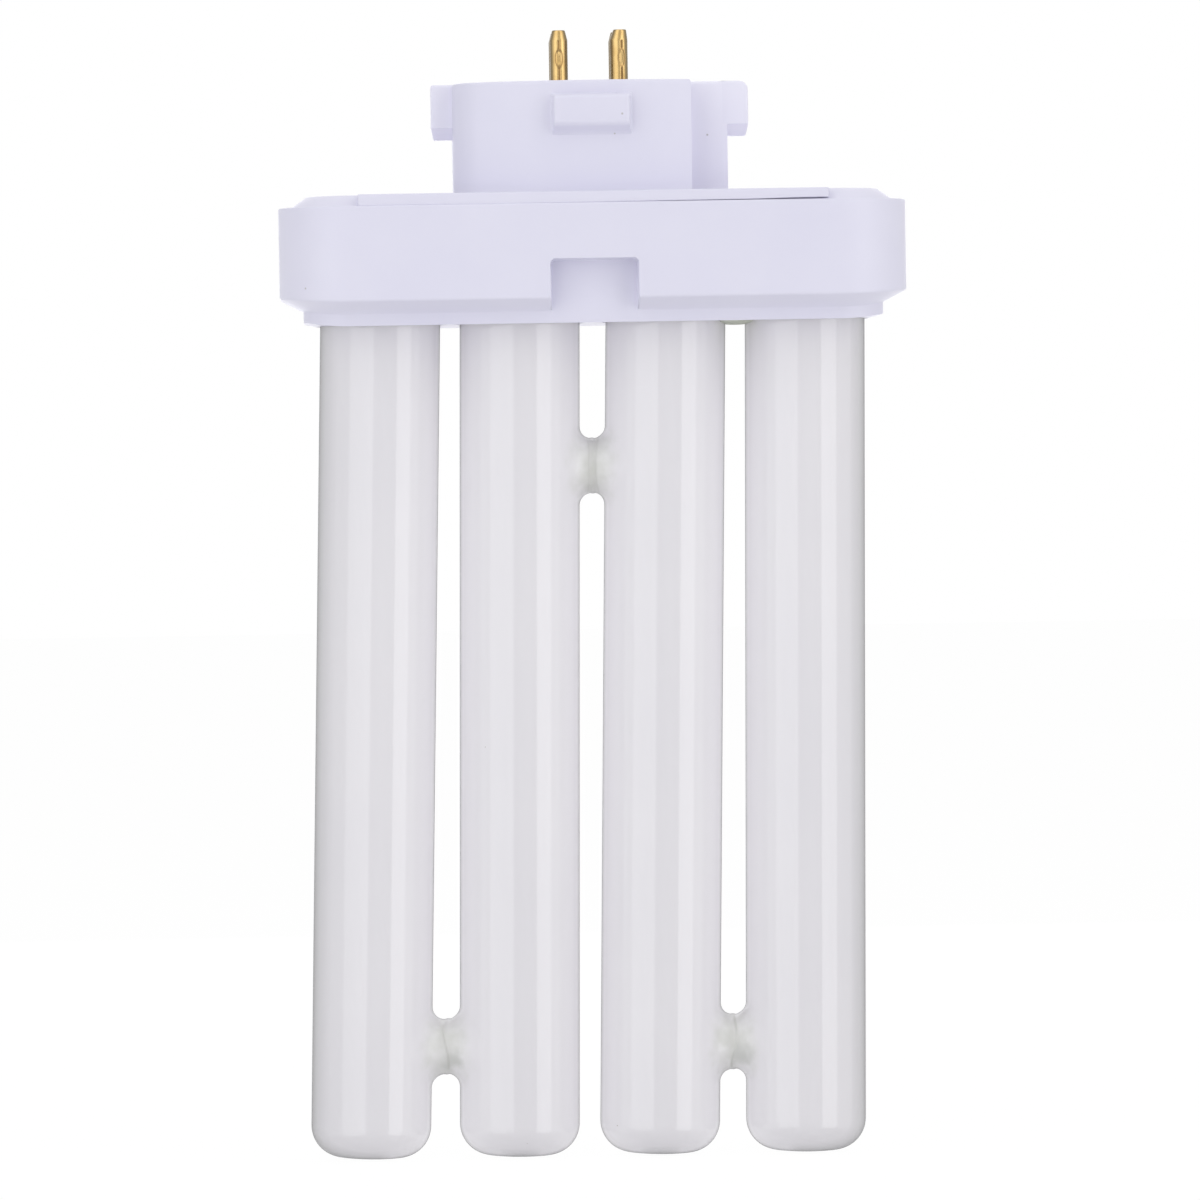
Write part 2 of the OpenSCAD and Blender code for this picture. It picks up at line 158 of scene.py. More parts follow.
# Each bridge: the tube on its left, its height, the phase of its weld's wave, and its weld
BRIDGES = [
    (0, LOW_BRIDGE_Z, 0.4, "crack"),
    (1, HIGH_BRIDGE_Z, 1.9, "band"),
    (2, LOW_BRIDGE_Z, 3.1, "crack"),
]


# Meshes from arrays

class Shape:
    """Gathers grids and caps of one piece, then makes the mesh."""

    def __init__(self):
        self.points = []
        self.marks = []
        self.painted_lights = []
        self.faces = []
        self.count = 0

    def add(self, points, faces, mark=None, painted_light=None):
        """Adds points, faces and, for each point, how strongly a line is drawn and how much
        painted light, a lighter colour that stands in for light, the surface gets there."""
        points = np.asarray(points, dtype=float).reshape(-1, 3)
        self.points.append(points)
        for kept, given in ((self.marks, mark), (self.painted_lights, painted_light)):
            kept.append(np.zeros(len(points)) if given is None else np.asarray(given).ravel())
        self.faces.extend((np.asarray(face) + self.count).tolist() for face in faces)
        self.count += len(points)

    def grid(self, rings, flip=False, cap_low=False, cap_high=False, mark=None, painted_light=None):
        """Closed rings of points, each joined to the next by quads, with optional flat caps."""
        rows, cols = rings.shape[:2]
        left = np.arange(rows * cols).reshape(rows, cols)
        right = np.roll(left, -1, axis=1)
        quads = np.stack([left[:-1], right[:-1], right[1:], left[1:]], axis=-1).reshape(-1, 4)
        faces = list(quads[:, ::-1] if flip else quads)
        if cap_low:
            faces.append(left[0] if flip else left[0][::-1])
        if cap_high:
            faces.append(left[-1][::-1] if flip else left[-1])
        self.add(rings.reshape(-1, 3), faces, mark, painted_light)

    def piece(self, name, material, crease=35.0):
        """Makes the object at the origin, smooth but for edges sharper than the crease."""
        mesh = bpy.data.meshes.new(name)
        mesh.from_pydata((np.vstack(self.points) * MM).tolist(), [], self.faces)
        for label, kept in (("line", self.marks), ("painted_light", self.painted_lights)):
            values = mesh.attributes.new(label, "FLOAT", "POINT").data
            values.foreach_set("value", np.concatenate(kept))
        mesh.polygons.foreach_set("use_smooth", np.ones(len(mesh.polygons), dtype=bool))
        mesh.set_sharp_from_angle(angle=np.radians(crease))
        mesh.materials.append(material)
        thing = bpy.data.objects.new(name, mesh)
        bpy.context.scene.collection.objects.link(thing)
        return thing


def arc(centre, radius, start, stop, steps):
    """Points on a circle round a centre, at even steps from one angle to another in degrees."""
    angle = np.radians(np.linspace(start, stop, steps + 1))
    x, y = centre
    return np.column_stack([x + radius * np.cos(angle), y + radius * np.sin(angle)])


def smooth_step(value):
    """Rises from 0 to 1 as the value goes from 0 to 1, level at both ends."""
    value = np.clip(value, 0, 1)
    return value * value * (3 - 2 * value)


def bell(value, width):
    """1 where the value is 0, falling to 0 on both sides over about twice the width."""
    return np.exp(-(value / width) ** 2)


def plan_normals(outline):
    """Outward unit normals of a closed counter-clockwise outline, from its neighbours' chord."""
    chord = np.roll(outline, -1, axis=0) - np.roll(outline, 1, axis=0)
    normal = np.column_stack([chord[:, 1], -chord[:, 0]])
    return normal / np.linalg.norm(normal, axis=1, keepdims=True)


def round_plan(w, d, r, side_marks=(), steps=22):
    """Counter-clockwise rounded rectangle, with extra points at the marked x of both long
    sides."""
    x, y = w / 2 - r, d / 2 - r
    marks = np.unique(np.concatenate([np.linspace(-x, x, 25), side_marks]))
    marks = marks[(marks > -x + 1e-6) & (marks < x - 1e-6)]
    front = np.column_stack([marks, np.full(len(marks), -d / 2)])
    back = np.column_stack([marks[::-1], np.full(len(marks), d / 2)])
    return np.vstack([
        front,
        arc((x, -y), r, -90, 0, steps),
        arc((x, y), r, 0, 90, steps),
        back,
        arc((-x, y), r, 90, 180, steps),
        arc((-x, -y), r, 180, 270, steps),
    ])


def rounded_rim(inset, z, radius, side, steps=5):
    """Quarter round at the rim of a block, as (inset, z) pairs from its wall to its face."""
    turn = np.radians(np.linspace(0, 90, steps + 1))
    across, up = radius * (1 - np.cos(turn)), side * radius * (np.sin(turn) - 1)
    return np.column_stack([inset + across, z + up])


def stack(outline, profile):
    """Rings of an outline: each profile pair moves it inwards by inset and puts it at height z."""
    normal = plan_normals(outline)
    return np.array([
        np.column_stack([outline - normal * inset, np.full(len(outline), z)])
        for inset, z in profile
    ])


# Base shell

def notch_depth(x, z):
    """How far the notch cuts in: full depth inside a rectangle with round upper corners."""
    half = NOTCH_W / 2
    edge = 0.22
    side = np.abs(x) - (half - NOTCH_R)
    rise = z - (NOTCH_TOP - NOTCH_R)
    outside = np.hypot(np.maximum(side, 0), np.maximum(rise, 0)) - NOTCH_R
    distance = np.where((side > 0) & (rise > 0), outside, np.maximum(side, rise) - NOTCH_R)
    return CHIN_IN * smooth_step(-distance / edge)


def shell_piece(material):
    """The outer skin is the shell's plan carried up its upright profile, pressed in at both
    notches. The floor is flat with four round sockets, and a recess takes the cap."""
    edge = NOTCH_W / 2
    near = np.concatenate([edge - np.linspace(0, 0.9, 13), edge + np.array([0.1, 0.4])])
    outline = round_plan(SHELL_W, SHELL_D, SHELL_R, np.concatenate([near, -near]))
    soft = SKIRT_SOFT
    profile = [
        (CHIN_IN + soft, SKIRT_Z),
        (CHIN_IN + 0.1 * soft, SKIRT_Z + 0.1 * soft),
        (CHIN_IN, SKIRT_Z + soft),
        (CHIN_IN, SKIRT_TOP - 0.12),
        (CHIN_IN - 0.05, SKIRT_TOP - 0.02),
        (CHIN_IN - 0.2, SKIRT_TOP + 0.1),
    ]
    slope = np.degrees(np.arctan2(CHIN_H, CHIN_IN))
    for turn in np.radians(np.linspace(90 - slope, 0, 6)):
        inset = CHIN_SOFT * (1 - np.cos(turn))
        profile.append((inset, CHIN_TOP + 0.3 - CHIN_SOFT * np.sin(turn)))
    levels = np.concatenate([
        np.linspace(CHIN_TOP + 0.6, NOTCH_TOP - 0.9, 8),
        NOTCH_TOP - np.linspace(0.8, 0, 13),
        [NOTCH_TOP + 0.15, NOTCH_TOP + 0.5],
        np.linspace(NOTCH_TOP + 1.5, SHELL_TOP - 0.6, 6),
    ])
    profile += [(0.0, z) for z in levels]
    profile += list(rounded_rim(0, SHELL_TOP, 0.2, 1))
    profile += [
        (SHELL_LIP, SHELL_TOP),
        (SHELL_LIP + 0.1, SHELL_TOP - 0.2),
        (SHELL_LIP + 0.1, SHELL_TOP - 1.0),
    ]
    profile = np.array(profile)

    normal = plan_normals(outline)
    inset = np.repeat(profile[:, :1], len(outline), axis=1)
    height = np.repeat(profile[:, 1:], len(outline), axis=1)
    long_side = np.abs(normal[:, 1]) > 0.999
    notch = notch_depth(outline[:, 0][None, :], height) * long_side[None, :]
    inset = np.maximum(inset, np.where(height < SHELL_TOP - 2, notch, 0))
    rings = outline[None, :, :] - normal[None, :, :] * inset[:, :, None]
    bow = (SIDE_LIFT * normal[:, 0] ** 2 - FRONT_DROP * normal[:, 1] ** 2)[None, :]
    height = height + bow * smooth_step((SHELL_TOP - BOW_BELOW - height) / BOW_REACH)
    rings = np.concatenate([rings, height[:, :, None]], axis=2)

    shape = Shape()
    shape.grid(rings, cap_high=True)
    holes = [arc((x, 0), SOCKET_R, 0, 360, 64)[:-1] for x in TUBE_X]
    rim = rings[0, :, :2]
    loops = [rim] + holes
    flat = np.vstack(loops)
    starts = np.cumsum([0] + [len(loop) for loop in loops])
    faces = [list(range(starts[0], starts[1]))]
    faces += [list(range(starts[k], starts[k + 1]))[::-1] for k in range(1, len(loops))]
    points, _, triangles, *_ = delaunay_2d_cdt([Vector(p) for p in flat], [], faces, 2, 1e-6)
    points = np.array([[p.x, p.y, SKIRT_Z] for p in points])
    points[:len(rim), 2] = rings[0, :, 2]
    shape.add(points, [list(t)[::-1] for t in triangles])
    for hole in holes:
        wall = stack(hole, [(0, SKIRT_Z), (0, SKIRT_Z + SOCKET_DEEP)])
        shape.grid(wall, flip=True, cap_high=True)
    return shape.piece("shell_moulding", material)


# Base cap

def plug_outline(steps=14):
    """Counter-clockwise plug plan: bulging front and back, round corners and the key recess.
    Each corner arc touches its bulge and its side without a kink."""
    w, d = PLUG_W / 2, PLUG_D / 2
    cx = w - PLUG_CORNER_R
    deep = PLUG_BULGE_R - d
    cy = deep - np.sqrt((PLUG_BULGE_R - PLUG_CORNER_R) ** 2 - cx * cx)
    turn = np.degrees(np.arctan2(cx, deep - cy))
    corner = arc((cx, -abs(cy)), PLUG_CORNER_R, turn - 90, 0, steps)
    bulge = arc((0, deep), PLUG_BULGE_R, -90 - turn, -90 + turn, 4 * steps)
    right_back = corner[::-1] * [1, -1]
    back = bulge[::-1] * [1, -1]
    left_back = right_back[::-1] * [-1, 1]
    left_front = corner[::-1] * [-1, 1]
    front = bulge[bulge[:, 0] < KEY_X]
    key_y = deep - np.sqrt(PLUG_BULGE_R ** 2 - KEY_X ** 2)
    depth = np.linspace(key_y, -EAR_FRONT, 12)[:, None]
    step = np.hstack([np.full_like(depth, KEY_X), depth])
    across = np.linspace(KEY_X, w, 14)[1:, None]
    seat = np.hstack([across, np.full_like(across, -EAR_FRONT)])
    return np.vstack([front, step, seat, right_back, back[1:], left_back[1:], left_front[:-1]])


def soften(outline, radius, steps=5):
    """Rounds every corner of a polygon with a parabola that starts and ends at the given
    distance from the corner, or nearer on a short side."""
    before = np.roll(outline, 1, axis=0) - outline
    after = np.roll(outline, -1, axis=0) - outline
    span_before = np.linalg.norm(before, axis=1)
    span_after = np.linalg.norm(after, axis=1)
    reach = np.minimum(radius, 0.45 * np.minimum(span_before, span_after))[:, None]
    a = outline + before / span_before[:, None] * reach
    b = outline + after / span_after[:, None] * reach
    t = np.linspace(0, 1, steps + 1)[None, :, None]
    curve = a[:, None] * (1 - t) ** 2 + 2 * outline[:, None] * t * (1 - t) + b[:, None] * t ** 2
    return curve.reshape(-1, 2)


def ear(shape, side, corner_r):
    """An ear of the plug as level sections from foot to top. Each is a box outline with
    round outer edges, and its half depth is a function of height. Below the upright faces the
    front and back lean in, and at the top the outer end follows the corner's arc."""
    foot = -EAR_H - EAR_RAMP
    outer = PLUG_W / 2 + EAR_OUT
    root = PLUG_W / 2 - EAR_SINK
    soft = EAR_SOFT
    turn = np.linspace(0, np.pi / 2, 9)
    arch = corner_r * (np.sin(turn) - 1) - EAR_PROUD
    high = np.concatenate([[-EAR_H + 0.01, -EAR_H + 0.5], arch])
    reach = np.concatenate([[0, 0], corner_r * (1 - np.cos(turn))])
    z = np.concatenate([[foot, foot + 0.08, foot + 0.5, -EAR_H - 0.08], high])
    inset = np.concatenate([[0.4, 0.32, 0.2, 0.02], reach])
    lean = np.clip((-EAR_H - z) / EAR_RAMP, 0, 1) * EAR_RAMP
    top_round = 1 - np.sqrt(np.clip(1 - (1 + z / soft) ** 2, 0, 1))
    half = EAR_FRONT + EAR_PROUD - lean - np.where(z > -soft, soft * top_round, 0)
    corner = np.linspace(0, np.pi / 2, 6)[None, :]
    along = soft * np.sin(corner) + (outer - inset - soft)[:, None]
    across = (half - soft)[:, None] + soft * np.cos(corner)
    inner = np.full((len(z), 1), root)
    x = np.hstack([inner, along, along[:, ::-1], inner])
    y = np.hstack([-half[:, None], -across, across[:, ::-1], half[:, None]])
    height = np.repeat(z[:, None], x.shape[1], axis=1)
    # Painted light: a lighter colour on the ear's faces, and more on its downward slope
    shade = np.where(height < -EAR_H, EAR_SLOPE_PAINTED_LIGHT, EAR_FACE_PAINTED_LIGHT)
    rings = np.stack([side * x, y, height], axis=-1)
    shape.grid(rings, flip=side < 0, cap_low=True, cap_high=True, painted_light=shade)


def latch(shape, side):
    """A latch as loops from its root out to its face. The root flares into the plug's bulged
    side, the lower side slopes towards the plug, and the rim of the face is round."""
    flare = [(-0.2, -0.4), (-0.2, -0.02), (-0.1, 0.05), (0.0, 0.16), (0.08, 0.34), (0.11, 0.6)]
    loops = []
    for inset, out in flare + list(rounded_rim(0.13, LATCH_OUT, 0.5, 1, 7)):
        half = LATCH_W / 2 - inset
        high = -LATCH_DROP - inset
        low = -LATCH_DROP - LATCH_H - LATCH_RAMP * np.clip(1 - out / LATCH_OUT, 0, 1) + inset
        along = np.linspace(-half, half, 16)
        box = np.vstack([
            np.column_stack([along, np.full(len(along), low)]),
            np.column_stack([along[::-1], np.full(len(along), high)]),
        ])
        loop = soften(box, 0.45)
        sag = PLUG_BULGE_R - np.sqrt(PLUG_BULGE_R ** 2 - loop[:, 0] ** 2)
        y = PLUG_D / 2 + out - sag * (1 - np.clip(out / LATCH_OUT, 0, 1))
        loops.append(np.column_stack([loop[:, 0], side * y, loop[:, 1]]))
    shape.grid(np.array(loops), flip=side > 0, cap_low=True, cap_high=True)


def tongue(shape):
    """The tongue is a rounded rectangle between the plate's foot and its top, with round rims.
    Its underside lifts off the shell towards the right, in two smooth steps."""
    half_w, half_d = TONGUE_W / 2, SHELL_D / 2 - TONGUE_BACK
    box = np.array([(-half_w, -half_d), (half_w, -half_d), (half_w, half_d), (-half_w, half_d)])
    plan = soften(box, 0.3)
    along = np.linspace(-half_w, half_w, 40)[1:-1]
    front = np.column_stack([along, np.full(len(along), -half_d)])
    plan = np.vstack([plan[:6], front, plan[6:]])
    low_rim = rounded_rim(0, SHELL_TOP, TONGUE_SOFT, -1)[::-1]
    high_rim = rounded_rim(0, PLATE_TOP + TONGUE_PROUD, TONGUE_SOFT, 1)
    rings = stack(plan, [*low_rim, *high_rim])
    x = rings[:, :, 0]
    gap = 0.14 * smooth_step((x + 12) / 34) + 0.12 * smooth_step((x - 20) / 8) - 0.06
    rings[:, :, 2] += gap * (PLATE_TOP - rings[:, :, 2]) / PLATE_H
    shape.grid(rings, cap_low=True, cap_high=True)


def cap_piece(material):
    """Plate with a bevelled edge, tongue, plug with its key recess, two ears, two latches."""
    shape = Shape()
    plan = round_plan(PLATE_W, PLATE_D, SHELL_R - (SHELL_D - PLATE_D) / 2)
    shape.grid(stack(plan, [
        (0.05, SHELL_TOP - 0.5),
        (0.0, SHELL_TOP + 0.02),
        (0.08, SHELL_TOP + 0.1),
        (PLATE_BEVEL - 0.2, PLATE_TOP - 0.12),
        (PLATE_BEVEL - 0.05, PLATE_TOP - 0.03),
        (PLATE_BEVEL + 0.15, PLATE_TOP),
    ]), cap_low=True, cap_high=True)
    tongue(shape)
    outline = plug_outline()
    foot = [
        (-0.25, PLATE_TOP - 0.3),
        (-0.25, PLATE_TOP),
        (-0.08, PLATE_TOP + 0.07),
        (0, PLATE_TOP + 0.25),
    ]
    levels = [(0, z) for z in np.linspace(PLATE_TOP + 1, -1, 8)]
    rings = stack(outline, foot + levels + list(rounded_rim(0, 0.0, 0.4, 1, 6)))
    # Painted light: a lighter colour on the key's seat beside the plug's front
    seat = (np.abs(outline[:, 1] + EAR_FRONT) < 1e-6) & (outline[:, 0] > KEY_X - 1e-6)
    shade = np.tile(np.where(seat, KEY_PAINTED_LIGHT, 0.0), len(rings))
    shape.grid(rings, cap_low=True, cap_high=True, painted_light=shade)
    ear(shape, 1, EAR_RIGHT_R)
    ear(shape, -1, EAR_LEFT_R)
    for side in (-1, 1):
        latch(shape, side)
    return shape.piece("cap_moulding", material, 40)


# Contact pins

def pin_piece(name, centre, side, material, twist=0.0, bend=0.0):
    """A drawn pin: radius as a function of height and angle. It is straight with a cone and
    a small round at its tip, less a groove along the seam and the crimp's oval dimple. The
    twist turns its seam by some degrees, and the bend moves its tip to the right."""
    levels = np.concatenate([
        np.linspace(PIN_FOOT, 0.2, 12),
        np.linspace(0.3, DIMPLE_UP - DIMPLE_L / 2, 14),
        np.linspace(DIMPLE_UP - DIMPLE_L / 2, DIMPLE_UP + DIMPLE_L / 2, 44)[1:],
        np.linspace(DIMPLE_UP + DIMPLE_L / 2, PIN_OUT - PIN_TAPER, 12)[1:],
        np.linspace(PIN_OUT - PIN_TAPER, PIN_OUT - 0.1, 10)[1:],
    ])
    count = 160
    turn = 2 * np.pi * np.arange(count) / count
    off = np.angle(np.exp(1j * (turn - np.radians(90 * side + twist))))
    cone = np.clip((levels - (PIN_OUT - PIN_TAPER)) / PIN_TAPER, 0, 1)
    radius = (PIN_D - (PIN_D - PIN_TIP_D) * cone) / 2
    across = off * PIN_D / 2
    above = smooth_step((levels - 0.05) / 0.2)
    above *= smooth_step((PIN_OUT - PIN_TAPER - levels) / 0.15)
    seam = bell(across, 0.15)[None, :] * above[:, None]
    ink = np.clip(1.4 * bell(across, 0.13), 0, 1)[None, :] * above[:, None]
    along = (levels[:, None] - DIMPLE_UP) / (DIMPLE_L / 2)
    oval = (across[None, :] / (DIMPLE_W / 2)) ** 2 + along ** 2
    dent = DIMPLE_DEEP * smooth_step(1.15 - oval)
    eye = 0.12 * bell(across[None, :], 0.14) * smooth_step(1 - oval)
    ring = radius[:, None] - np.maximum(PIN_SEAM * seam * (oval > 1.1), dent - eye)
    # The dark line: the seam itself, plus painted shade in its groove, round the dimple's rim and
    # at its middle
    rim_line = 0.65 * bell(np.sqrt(oval) - 0.95, 0.16)
    eye_line = 0.3 * bell(np.abs(across)[None, :] - 0.13, 0.06) * (oval < 0.7)
    seam_line = 0.9 * ink * smooth_step((oval - 0.9) / 0.3)
    line = np.maximum(np.maximum(rim_line, eye_line), seam_line)
    points = np.stack([
        centre[0] + ring * np.cos(turn)[None, :] + (bend * cone)[:, None],
        centre[1] + ring * np.sin(turn)[None, :],
        np.repeat(levels[:, None], count, axis=1),
    ], axis=-1)
    top = points[-1:].copy()
    top[:, :, 2] = PIN_OUT
    middle = np.array([centre[0] + bend, centre[1]])
    tip_share = 0.92
    top[:, :, :2] = middle + (top[:, :, :2] - middle) * tip_share
    points = np.concatenate([points, top])
    line = np.concatenate([line, line[-1:]])
    shape = Shape()
    shape.grid(points, cap_low=True, cap_high=True, mark=line)
    return shape.piece(name, material, 50)


# Glass

def axis_x(tube, z):
    """X of a tube's leaning axis at the height z."""
    return TUBE_X[tube] - np.tan(TUBE_LEAN[tube]) * (SKIRT_Z - z)


def tube_rings(tube):
    """A closed tube about its leaning axis: straight side, corner arc and shallow dome at
    both ends. The surface is turned as one about the point where its axis leaves the base."""
    cx = TUBE_R - END_CORNER_R
    rise = END_DOME_R - np.sqrt((END_DOME_R - END_CORNER_R) ** 2 - cx * cx)
    turn = np.degrees(np.arctan2(cx, END_DOME_R - rise))
    corner = arc((cx, rise), END_CORNER_R, turn - 90, 0, 14)
    dome = arc((0, END_DOME_R), END_DOME_R, -90, turn - 90, 10)[1:-1]
    end = np.vstack([[(0.02, 0)], dome, corner])
    shaft = np.linspace(end[-1, 1], TUBE_OUT + TUBE_IN - end[-1, 1], 90)[1:-1]
    side = np.column_stack([np.full(len(shaft), TUBE_R), shaft])
    top = end[::-1] * [1, -1] + [0, TUBE_OUT + TUBE_IN]
    profile = np.vstack([end, side, top])
    count = 128
    angle = 2 * np.pi * np.arange(count) / count
    x = profile[:, :1] * np.cos(angle)[None, :]
    y = profile[:, :1] * np.sin(angle)[None, :]
    z = np.repeat(profile[:, 1:] - TUBE_OUT, count, axis=1)
    lean = TUBE_LEAN[tube]
    return np.stack([
        TUBE_X[tube] + x * np.cos(lean) + z * np.sin(lean),
        y,
        SKIRT_Z - x * np.sin(lean) + z * np.cos(lean),
    ], axis=-1)


def bridge_rings(left, z, seam_phase, weld):
    """A fused neck between two tubes. Each of its lines runs from the left tube over the waist to
    the right tube on cubic curves that leave both walls along their surface, so the neck flows
    into the tubes. A low wavy bead marks the weld, which is drawn as one dark line (a crack) or as
    a grey band. Its painted light, a lighter coating in place of light, grows with the distance
    from the tubes' axes."""
    count, steps = 120, 34
    flare, pull, sunk = 0.9, 1.25, 0.8
    angle = 2 * np.pi * np.arange(count) / count
    a, b = axis_x(left, z), axis_x(left + 1, z)
    middle, half = (a + b) / 2, (b - a) / 2
    gap = half - TUBE_R
    waist = BRIDGE_D / 2
    up, out = np.cos(angle), np.sin(angle)
    reach = waist + gap + flare * out ** 2
    width = np.abs(out) * reach
    depth = TUBE_R - np.sqrt(TUBE_R ** 2 - width ** 2)
    end = np.stack([gap + depth, out * reach, up * reach], axis=-1)
    slope = width / np.sqrt(TUBE_R ** 2 - width ** 2)
    tangent = np.stack([slope * np.abs(out), out, up], axis=-1)
    tangent /= np.linalg.norm(tangent, axis=1, keepdims=True)
    start = np.stack([np.zeros(count), out * waist, up * waist], axis=-1)
    run = np.linalg.norm(end - start, axis=1, keepdims=True) * pull
    first = np.array([1.0, 0, 0])[None, :] * run
    last = tangent * run
    t = np.linspace(0, 1, steps)[:, None, None]
    h0, h1 = 2 * t ** 3 - 3 * t ** 2 + 1, t ** 3 - 2 * t ** 2 + t
    h2, h3 = -2 * t ** 3 + 3 * t ** 2, t ** 3 - t ** 2
    curve = h0 * start + h1 * first + h2 * end + h3 * last
    drift = h2[:, :, 0] * curve[:, :, 2]
    wave = 0.28 * np.sin(2 * angle + seam_phase) + 0.14 * np.sin(3 * angle + 2 * seam_phase)
    wave = wave if weld == "crack" else 0.2 * wave
    strength = 0.45 + 0.3 * np.sin(3 * angle + seam_phase) + 0.2 * np.sin(5 * angle)

    def bead(points):
        off = points[:, :, 0] - wave[None, :]
        lift = 0.08 * bell(off, 0.25) - 0.04 * bell(off - 0.5, 0.3)
        lifted = points.copy()
        lifted[:, :, 1] += lift * out[None, :]
        lifted[:, :, 2] += lift * up[None, :]
        return lifted

    sides = []
    for way, tube in ((-1, left), (1, left + 1)):
        side = curve * np.array([way, 1, 1])
        side[:, :, 0] += drift * np.tan(TUBE_LEAN[tube])
        sides.append(np.concatenate([side, side[-1:] + np.array([way * sunk, 0, 0])]))
    rings = bead(np.concatenate([sides[0][::-1], sides[1][1:]]))
    off = np.abs(rings[:, :, 0] - wave[None, :])
    if weld == "crack":
        line = np.clip(strength, 0.1, 1)[None, :] * bell(off, 0.16)
    else:
        reach = 0.45 + 0.35 * np.abs(up)[None, :] ** 4
        inside = 0.3 * smooth_step((reach - off) / 0.2)
        line = np.maximum(inside, 0.36 * bell(off - reach, 0.14))
    rings[:, :, 0] += middle
    rings[:, :, 2] += z
    x, height = rings[:, :, 0], rings[:, :, 2]
    # Painted light: the coating gets lighter with the distance from both tubes' axes
    from_axis = [np.abs(x - axis_x(tube, height)) for tube in (left, left + 1)]
    painted_light = np.clip(np.minimum(*from_axis) / TUBE_R, 0, 1) ** 2
    return rings, line, painted_light


def glass_piece(material):
    """Four tubes and three bridges. A tube's painted light, a lighter coating in place of light,
    is the square of its sideways distance from the axis, in radii, and there is none on a side
    that faces no other tube."""
    shape = Shape()
    last = len(TUBE_X) - 1
    for tube in range(last + 1):
        rings = tube_rings(tube)
        # Painted light: a lighter coating towards the sides that face another tube
        side = (rings[:, :, 0] - axis_x(tube, rings[:, :, 2])) / TUBE_R
        faces_out = (side < 0) & (tube == 0) | (side > 0) & (tube == last)
        painted_light = np.abs(side) ** 2 * ~faces_out
        shape.grid(rings, cap_low=True, cap_high=True, painted_light=painted_light)
    for left, z, phase, weld in BRIDGES:
        rings, line, painted_light = bridge_rings(left, z, phase, weld)
        shape.grid(rings, flip=True, cap_low=True, cap_high=True, mark=line, painted_light=painted_light)
    return shape.piece("glass_tubes", material, 25)


def dark_blob_piece(material):
    """A flat, dark blob below the base between two tubes, in the cement's material: an ellipsoid
    with a wavy rim."""
    x = (axis_x(2, SKIRT_Z) + axis_x(3, SKIRT_Z)) / 2
    middle_y, half_w, half_d, half_t = -1.0, 2.6, 6.2, 0.6
    count = 64
    turn = 2 * np.pi * np.arange(count) / count
    rise = np.radians(np.linspace(-88, 88, 23))[:, None]
    wave = 1 + 0.05 * np.sin(3 * turn + 0.5) + 0.04 * np.sin(7 * turn)
    rings = np.stack([
        x + half_w * wave * np.cos(turn) * np.cos(rise),
        middle_y + half_d * wave * np.sin(turn) * np.cos(rise),
        SKIRT_Z + half_t * np.sin(rise) * np.ones(count),
    ], axis=-1)
    shape = Shape()
    shape.grid(rings, cap_low=True, cap_high=True)
    return shape.piece("dark_blob_below_base", material)


# Materials

def new_group(name, inputs, outputs):
    """An empty shader node group with named sockets."""
    group = bpy.data.node_groups.new(name, "ShaderNodeTree")
    for label, kind, value in inputs:
        socket = group.interface.new_socket(name=label, in_out="INPUT", socket_type=kind)
        socket.default_value = value
    for label, kind in outputs:
        group.interface.new_socket(name=label, in_out="OUTPUT", socket_type=kind)
    return group, group.nodes.new("NodeGroupInput"), group.nodes.new("NodeGroupOutput")


def node(tree, kind, values=None, **settings):
    """Adds a node, sets its fields, and its sockets by name or number."""
    made = tree.nodes.new(kind)
    for key, value in settings.items():
        setattr(made, key, value)
    for key, value in (values or {}).items():
        made.inputs[key].default_value = value
    return made


def chain(tree, *pairs):
    """Links output sockets to input sockets."""
    for source, target in pairs:
        tree.links.new(source, target)


def speck_group():
    """Dust specks: a mask that is 1 in a few small round spots, kept where a second, coarser
    noise is high, so that they come in loose clusters."""
    group, given, put = new_group(
        "dust_specks",
        [("Vector", "NodeSocketVector", (0, 0, 0)), ("Cells", "NodeSocketFloat", 300.0),
         ("Size", "NodeSocketFloat", 0.05)],
        [("Mask", "NodeSocketFloat")],
    )
    cells = node(group, "ShaderNodeTexVoronoi")
    noise = node(group, "ShaderNodeTexNoise", {"Scale": 60.0, "Detail": 2.0})
    spot = node(group, "ShaderNodeMath", operation="LESS_THAN")
    keep = node(group, "ShaderNodeMath", {1: 0.62}, operation="GREATER_THAN")
    both = node(group, "ShaderNodeMath", operation="MULTIPLY")
    chain(
        group,
        (given.outputs["Vector"], cells.inputs["Vector"]),
        (given.outputs["Cells"], cells.inputs["Scale"]),
        (given.outputs["Vector"], noise.inputs["Vector"]),
        (cells.outputs["Distance"], spot.inputs[0]),
        (given.outputs["Size"], spot.inputs[1]),
        (noise.outputs["Fac"], keep.inputs[0]),
        (spot.outputs[0], both.inputs[0]),
        (keep.outputs[0], both.inputs[1]),
        (both.outputs[0], put.inputs["Mask"]),
    )
    return group


